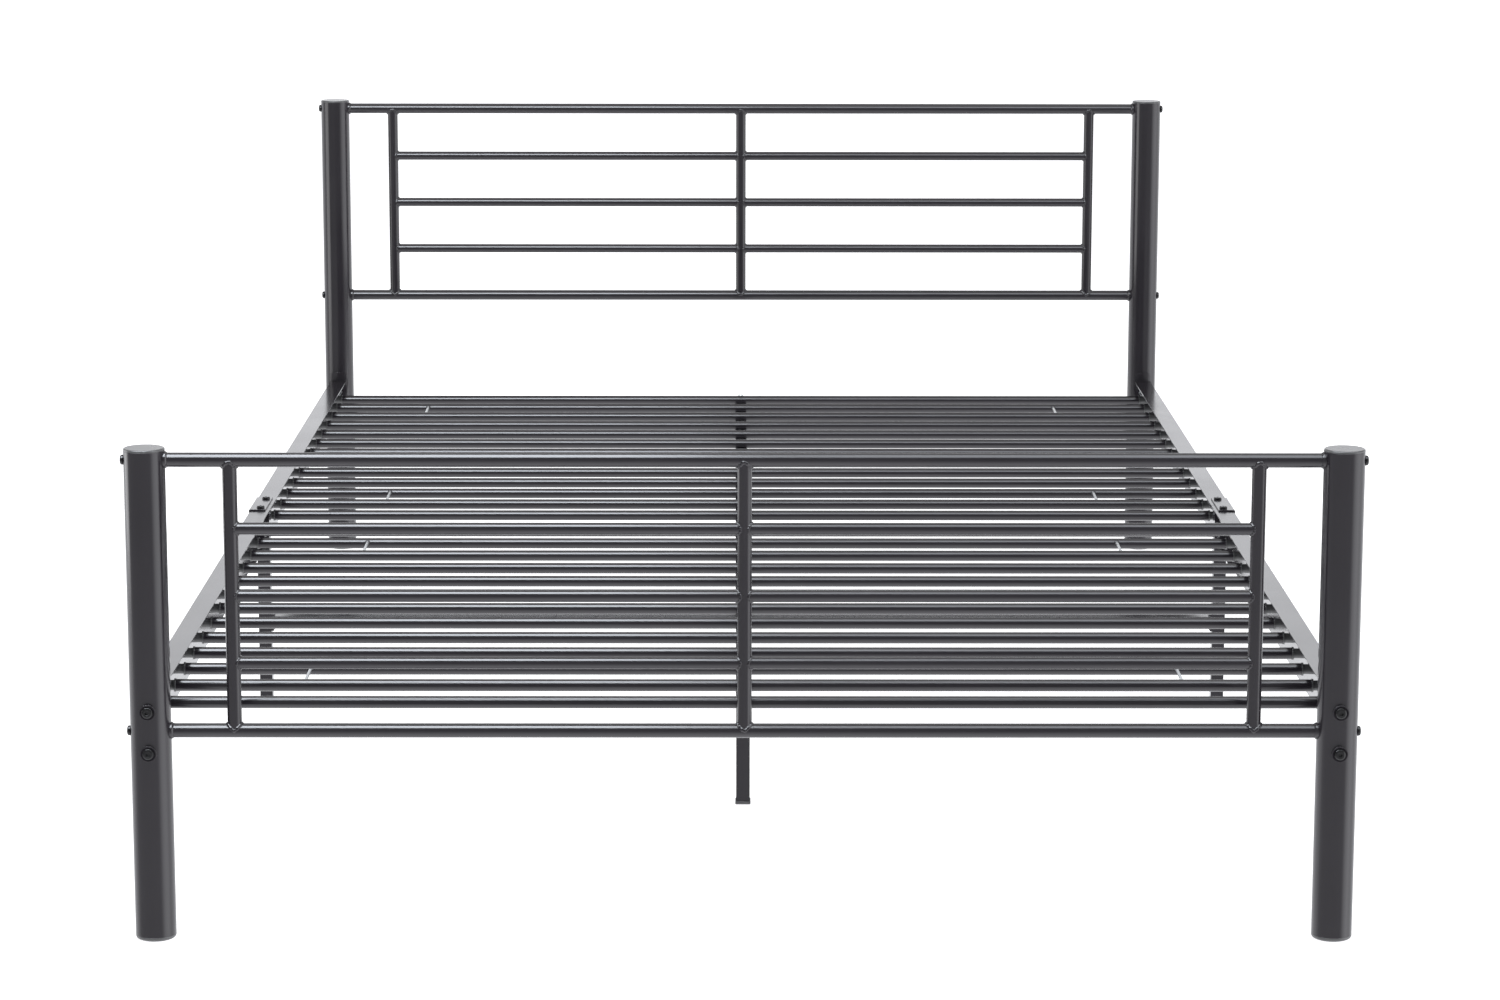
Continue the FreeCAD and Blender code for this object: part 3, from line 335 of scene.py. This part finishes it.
def add_bead(mesh, line, radius, seed):
    """A rippled round bead along a closed line of (point, outward) pairs."""
    chance = random.Random(seed)
    phase = chance.uniform(0, math.tau)
    count = len(line)
    rings = []
    for i, (point, outward) in enumerate(line):
        ahead = line[(i + 1) % count][0] - line[i - 1][0]
        tangent = ahead.normalized()
        across = tangent.cross(outward).normalized()
        swell = RIPPLE * math.sin(phase + math.tau * i / count * RIPPLES)
        ripple = 1 + swell + chance.uniform(-UNEVEN, UNEVEN)
        ring = []
        for j in range(BEAD_SIDES):
            turn = math.tau * j / BEAD_SIDES
            offset = outward * math.cos(turn) * BEAD_FLATNESS + across * math.sin(turn)
            ring.append(mesh.verts.new(point + offset * radius * ripple))
        rings.append(ring)
    for i in range(count):
        here, after = rings[i], rings[(i + 1) % count]
        for j in range(BEAD_SIDES):
            k = (j + 1) % BEAD_SIDES
            mesh.faces.new((here[j], here[k], after[k], after[j]))


def finish_piece(mesh, name, material):
    """Turns a bmesh into a smooth piece that rides on the frame."""
    bmesh.ops.recalc_face_normals(mesh, faces=mesh.faces)
    data = bpy.data.meshes.new(name)
    mesh.to_mesh(data)
    mesh.free()
    data.polygons.foreach_set("use_smooth", [True] * len(data.polygons))
    data.materials.append(material)
    piece = bpy.data.objects.new(name, data)
    bpy.context.scene.collection.objects.link(piece)
    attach(piece, "root")
    print(name, len(data.polygons), "faces")


# %% [markdown]
# The tubes' places are measured from the CAD nodes themselves, so the beads
# move with the frame if its sizes change.

# %% Beads of the headboard and the footboard
def middle_of(node):
    """The middle of a node's box."""
    low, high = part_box(node)
    return (low + high) / 2


def radius_of(node):
    """Radius of an upright tube or a level one, from the thin sides of its box."""
    low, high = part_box(node)
    return min(high - low) / 2


UP = Vector((0, 0, 1))
ACROSS = Vector((1, 0, 0))
BARS_IN_HALF = 3
SNUG = 0.985                # a tube coped to one as wide as itself, just inside its sides
RAIL_BEAD = 0.0022
BAR_BEAD = 0.0016


def bar_levels(end):
    """Heights of the three bars of a panel: even gaps between the two rails."""
    low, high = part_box(end + "_bars_left")
    thick = radius_of(end + "_bars_left")
    top = high.z - thick
    bottom = low.z + thick
    return [top - (top - bottom) * i / (BARS_IN_HALF - 1) for i in range(BARS_IN_HALF)]


def panel_welds(end):
    """Beads where the uprights of one panel meet its rails and its bars."""
    mesh = bmesh.new()
    tube = radius_of(end + "_top_rail")
    bar = radius_of(end + "_bars_left")
    seed = 1
    for place in ("left", "centre", "right"):
        upright = middle_of("%s_upright_%s" % (end, place))
        for rail, direction in (("top", -UP), ("bottom", UP)):
            level = middle_of("%s_%s_rail" % (end, rail)).z
            centre = Vector((upright.x, upright.y, level))
            line = joint_line(centre, ACROSS, direction, tube * SNUG, tube)
            add_bead(mesh, line, RAIL_BEAD, seed)
            seed += 1
        for level in bar_levels(end):
            centre = Vector((upright.x, upright.y, level))
            for direction, sides in ((ACROSS, ("left", "centre")), (-ACROSS, ("centre", "right"))):
                if place in sides:
                    add_bead(mesh, joint_line(centre, UP, direction, bar, tube), BAR_BEAD, seed)
                    seed += 1
    finish_piece(mesh, end + "_panel_welds", frame_coat)


for end in ("foot", "head"):
    panel_welds(end)

# %% [markdown]
# The square legs are welded to their top plates all round, and each crossbar
# to its end plate. A seam between flat faces is the same kind of bead, run
# along a four-sided line, so only the line has to be worked out.

# %% Beads round square tubes
LEG_HALF = 0.008            # half the width of a square tube
LEG_PLATE = 0.003           # thickness of the plates
BEAD_DROP = 0.0002          # from the plate to the middle of its bead
LEG_BEAD = 0.0014
CENTRE_LEG_SEED = 40
CROSSBAR_SEED = 50


def square_line(centre, first, second, half, steps=12):
    """Points round a square in the plane of two directions, with outward directions."""
    corners = [(-half, -half), (half, -half), (half, half), (-half, half)]
    line = []
    for (x0, y0), (x1, y1) in zip(corners, corners[1:] + corners[:1]):
        for i in range(steps):
            share = i / steps
            flat = first * (x0 + (x1 - x0) * share) + second * (y0 + (y1 - y0) * share)
            line.append((centre + flat, flat.normalized()))
    return line


def leg_welds():
    """A bead under the plate on top of each centre leg, and on each crossbar's plate."""
    mesh = bmesh.new()
    along = Vector((0, 1, 0))
    for seed, place in enumerate(("foot", "middle", "head")):
        low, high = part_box("centre_leg_" + place)
        centre = Vector((0, (low.y + high.y) / 2, high.z - LEG_PLATE - BEAD_DROP))
        add_bead(mesh, square_line(centre, ACROSS, along, LEG_HALF), LEG_BEAD,
                 CENTRE_LEG_SEED + seed)
    for sign, side in ((-1, "left"), (1, "right")):
        low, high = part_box("crossbar_" + side)
        outer = max(abs(low.x), abs(high.x)) - LEG_PLATE - BEAD_DROP
        centre = Vector((sign * outer, 0, (low.z + high.z) / 2))
        add_bead(mesh, square_line(centre, along, UP, LEG_HALF), LEG_BEAD,
                 CROSSBAR_SEED + sign)
    finish_piece(mesh, "leg_welds", frame_coat)


leg_welds()

# %% [markdown]
# Each rail is welded to the bracket at its end by one upright bead, down the
# inner face of its web. It starts and stops thin, where the welder moves in
# and away.

# %% Beads down the rail ends
STEP = 0.0016               # along the bead, about
FEWEST_STEPS = 8
THIN_END = 0.25             # width at the very end, as a share
SWELL_RATE = 6
STRAIGHT_RIPPLE = 0.14
RIPPLE_TURN = 2.2           # radians of ripple for each step
STRAIGHT_UNEVEN = 0.04
RAIL_END_BEAD = 0.0018
RAIL_END_SEED = 60
WEB_WALL = 0.0015
WEB_GAP = 0.0004            # from the web's face to the middle of the bead
BEAD_START = 0.004          # above the rail's lower edge
BEAD_STOP = 0.006           # below its top


def straight_bead(mesh, start, finish, radius, seed):
    """A rippled bead from one point to another, drawn in at both ends."""
    chance = random.Random(seed)
    along = (finish - start).normalized()
    side = along.orthogonal().normalized()
    other = along.cross(side)
    steps = max(int((finish - start).length / STEP), FEWEST_STEPS)
    rings = []
    for i in range(steps + 1):
        share = i / steps
        swell = min(1.0, THIN_END + SWELL_RATE * min(share, 1 - share))
        ripple = 1 + STRAIGHT_RIPPLE * math.sin(i * RIPPLE_TURN)
        width = radius * swell * (ripple + chance.uniform(-STRAIGHT_UNEVEN, STRAIGHT_UNEVEN))
        centre = start.lerp(finish, share)
        ring = []
        for j in range(BEAD_SIDES):
            turn = math.tau * j / BEAD_SIDES
            offset = side * math.cos(turn) + other * math.sin(turn)
            ring.append(mesh.verts.new(centre + offset * width))
        rings.append(ring)
    for here, after in zip(rings, rings[1:]):
        for j in range(BEAD_SIDES):
            k = (j + 1) % BEAD_SIDES
            mesh.faces.new((here[j], here[k], after[k], after[j]))
    mesh.faces.new(rings[0])
    mesh.faces.new(rings[-1])


def rail_end_welds():
    """A bead down the web of every rail, beside the bracket at its end."""
    mesh = bmesh.new()
    seed = RAIL_END_SEED
    for end, toward in (("foot", 1), ("head", -1)):
        for side, sign in (("left", -1), ("right", 1)):
            low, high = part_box("rail_bracket_%s_%s" % (end, side))
            rail_low, rail_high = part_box("side_rail_%s_%s" % (end, side))
            rail_outer = max(abs(rail_low.x), abs(rail_high.x))
            seam = high.y if toward > 0 else low.y
            x = sign * (rail_outer - WEB_WALL - WEB_GAP)
            start = Vector((x, seam, rail_low.z + BEAD_START))
            finish = Vector((x, seam, rail_high.z - BEAD_STOP))
            straight_bead(mesh, start, finish, RAIL_END_BEAD, seed)
            seed += 1
    finish_piece(mesh, "rail_end_welds", frame_coat)


rail_end_welds()

# %% [markdown]
# Each short tie rod is tacked to its two slats. A tack is a small drop or two
# of weld that have run together, so it is made of squashed round blobs.

# %% Tacks on the tie rods
TIE_CELL = 0.12             # a limit of the cells falls between the two ends of every rod
DROP_RADIUS = 0.0030
DROP_SHAPE = (1.1, 0.6, 0.9, 1)


def tie_tacks():
    """Two drops of weld at each end of each tie rod, found from the rods' own mesh."""
    rods = nodes["slat_ties"]
    spots = {}
    for vertex in rods.data.vertices:
        point = rods.matrix_world @ vertex.co
        key = (point.x > 0, round(point.y / TIE_CELL))
        spots.setdefault(key, []).append(point)
    mesh = bmesh.new()
    for points in spots.values():
        x = sum(p.x for p in points) / len(points)
        z = sum(p.z for p in points) / len(points)
        for y in (min(p.y for p in points), max(p.y for p in points)):
            drop = bmesh.ops.create_icosphere(mesh, subdivisions=3, radius=DROP_RADIUS)
            place = Matrix.Translation((x, y, z)) @ Matrix.Diagonal(DROP_SHAPE)
            bmesh.ops.transform(mesh, matrix=place, verts=drop["verts"])
    finish_piece(mesh, "tie_tacks", frame_coat)


tie_tacks()

# %% [markdown]
# ## The studio
#
# The floor is a wide pale sheet and the room beyond it is white. Dark satin
# paint shows its lights more than its own colour, so each light is placed for
# the reflection it makes. Two flat lights hang high over the footboard and the
# floor in front of it, the left one stronger, and draw the bright lines along
# the tops of the tubes. A tall one stands on the left and gives the head posts
# a soft upright highlight. A wide one above the bed fills in the rest.

# %% Floor
FLOOR_HALF = 30.0           # metres from the middle to the edge
FLOOR_GLOW = 0.82           # keeps the floor evenly pale where the lights don't reach
FLOOR_TONES = ((0.88, 0.88, 0.885, 1), (0.91, 0.91, 0.91, 1))


def studio_floor():
    """A wide pale sheet that mirror reflections leave out."""
    material = bpy.data.materials.new("pale_floor")
    material.use_nodes = True
    tree = material.node_tree
    shader = tree.nodes["Principled BSDF"]
    shader.inputs["Roughness"].default_value = 0.9
    shader.inputs["Specular IOR Level"].default_value = 0.1
    shader.inputs["Emission Color"].default_value = (1, 1, 1, 1)
    shader.inputs["Emission Strength"].default_value = FLOOR_GLOW
    place = tree.nodes.new("ShaderNodeTexCoord")
    speck = noise_node(tree, place.outputs["Object"], 3.0, detail=3.0, roughness=0.5)
    tones = tree.nodes.new("ShaderNodeValToRGB")
    for stop, tone in zip(tones.color_ramp.elements, FLOOR_TONES):
        stop.color = tone
    tree.links.new(speck, tones.inputs["Fac"])
    tree.links.new(tones.outputs["Color"], shader.inputs["Base Color"])
    mesh = bmesh.new()
    bmesh.ops.create_grid(mesh, x_segments=2, y_segments=2, size=FLOOR_HALF)
    data = bpy.data.meshes.new("studio_floor")
    mesh.to_mesh(data)
    mesh.free()
    data.materials.append(material)
    floor = bpy.data.objects.new("studio_floor", data)
    bpy.context.scene.collection.objects.link(floor)
    floor.visible_glossy = False


studio_floor()

# %% [markdown]
# The room is white behind the bed and on the right, as if a reflector stood
# there, and dim above and in front, as a studio is behind its lights. Its light from
# below stands for the pale floor in the paint, brightest straight down. So
# the floor itself is left out of mirror reflections. What the camera sees past
# the floor is plain white.

# %% Room light
ROOM_COLOUR = (0.96, 0.97, 1.0, 1)
# The ramps' limits, as parts of a direction of length one.
FLOOR_RAMP = (-1.0, 0.1)        # Z, from straight down to just above level
REFLECTOR_RAMP = (0.6, 0.95)    # X, into the reflector on the right
BACKDROP_RAMP = (0.26, 0.42)    # Z, across the backdrop's upper edge
BEHIND_RAMP = (-0.2, 0.35)      # Y, from the front of the room to its back


def ramp(tree, value, low, high, first, last):
    """A smooth change from first to last as value goes from low to high."""
    node = tree.nodes.new("ShaderNodeMapRange")
    node.interpolation_type = "SMOOTHSTEP"
    for socket, number in (("From Min", low), ("From Max", high), ("To Min", first),
                           ("To Max", last)):
        node.inputs[socket].default_value = number
    tree.links.new(value, node.inputs["Value"])
    return node.outputs["Result"]


def blend(tree, share, first, last):
    """first where share is 0, last where it is 1. Each is a socket or a number."""
    node = tree.nodes.new("ShaderNodeMix")
    tree.links.new(share, node.inputs["Factor"])
    for socket, value in (("A", first), ("B", last)):
        if isinstance(value, (int, float)):
            node.inputs[socket].default_value = value
        else:
            tree.links.new(value, node.inputs[socket])
    return node.outputs["Result"]


def white_room(below, above, reflector, backdrop, seen):
    """A world whose light depends on the direction, plain white to the camera."""
    world = bpy.data.worlds.new("white_room")
    world.use_nodes = True
    tree = world.node_tree
    tree.nodes.clear()
    place = tree.nodes.new("ShaderNodeTexCoord")
    split = tree.nodes.new("ShaderNodeSeparateXYZ")
    tree.links.new(place.outputs["Generated"], split.inputs[0])
    front = ramp(tree, split.outputs["Z"], *FLOOR_RAMP, below, above)
    rightward = ramp(tree, split.outputs["X"], *REFLECTOR_RAMP, 0.0, 1.0)
    low_back = ramp(tree, split.outputs["Z"], *BACKDROP_RAMP, backdrop, above)
    backward = ramp(tree, split.outputs["Y"], *BEHIND_RAMP, 0.0, 1.0)
    sides = blend(tree, rightward, front, reflector)
    lighting = tree.nodes.new("ShaderNodeBackground")
    lighting.inputs["Color"].default_value = ROOM_COLOUR
    tree.links.new(blend(tree, backward, sides, low_back), lighting.inputs["Strength"])
    plain = tree.nodes.new("ShaderNodeBackground")
    plain.inputs["Color"].default_value = (1, 1, 1, 1)
    plain.inputs["Strength"].default_value = seen
    path = tree.nodes.new("ShaderNodeLightPath")
    choose = tree.nodes.new("ShaderNodeMixShader")
    out = tree.nodes.new("ShaderNodeOutputWorld")
    tree.links.new(path.outputs["Is Camera Ray"], choose.inputs[0])
    tree.links.new(lighting.outputs[0], choose.inputs[1])
    tree.links.new(plain.outputs[0], choose.inputs[2])
    tree.links.new(choose.outputs[0], out.inputs[0])
    bpy.context.scene.world = world


white_room(below=2.0, above=0.4, reflector=2.7, backdrop=1.5, seen=1.4)


# %% Soft lights
def soft_light(name, where, look_at, size, radiance, colour=(1, 1, 1), sheen_only=False):
    """A flat light of a given brightness. One for sheen alone leaves the floor as it is."""
    data = bpy.data.lights.new(name, "AREA")
    data.shape = "RECTANGLE"
    data.size, data.size_y = size
    data.energy = radiance * math.pi * size[0] * size[1]
    data.color = colour
    lamp = bpy.data.objects.new(name, data)
    lamp.location = where
    lamp.rotation_euler = (Vector(look_at) - Vector(where)).to_track_quat("-Z", "Y").to_euler()
    lamp.visible_camera = False
    lamp.visible_diffuse = not sheen_only
    bpy.context.scene.collection.objects.link(lamp)
    print(name, "%.0f W" % data.energy)


COOL = (0.88, 0.93, 1.0)
soft_light("overhead_left", where=(-1.6, -2.0, 3.0), look_at=(-1.6, -2.0, 0), size=(3.1, 2.4),
           radiance=16.0, colour=COOL, sheen_only=True)
soft_light("overhead_right", where=(1.6, -2.0, 3.0), look_at=(1.6, -2.0, 0), size=(3.1, 2.4),
           radiance=4.5, colour=COOL, sheen_only=True)
soft_light("long_left", where=(-3.2, 0, 0.9), look_at=(0, 0, 0.5), size=(1.6, 2.2),
           radiance=2.6, sheen_only=True)
soft_light("ceiling_fill", where=(0, 0, 4.0), look_at=(0, 0, 0), size=(6.0, 6.0),
           radiance=0.9)

# %% [markdown]
# The camera stands in front of the footboard, at about 1.2 m, on a long lens,
# and looks down by about 11 degrees. From so far off, the posts stay nearly
# parallel.

# %% Camera
LENS = 98.667               # mm, with the sensor below
SENSOR = 36.0
FARTHEST = 100.0
CAMERA_PLACE = (-0.01254, -5.16691, 1.23558)
LOOK_DOWN = 0.18504         # radians below level
LEAN = -0.0014
TURN_ASIDE = -0.0041


def studio_camera():
    """The camera in front of the footboard."""
    data = bpy.data.cameras.new("studio_camera")
    data.sensor_width = SENSOR
    data.lens = LENS
    data.clip_end = FARTHEST
    camera = bpy.data.objects.new("studio_camera", data)
    camera.location = CAMERA_PLACE
    camera.rotation_euler = (math.pi / 2 - LOOK_DOWN, LEAN, TURN_ASIDE)
    bpy.context.scene.collection.objects.link(camera)
    bpy.context.scene.camera = camera


studio_camera()
bpy.context.scene.view_settings.view_transform = "Standard"
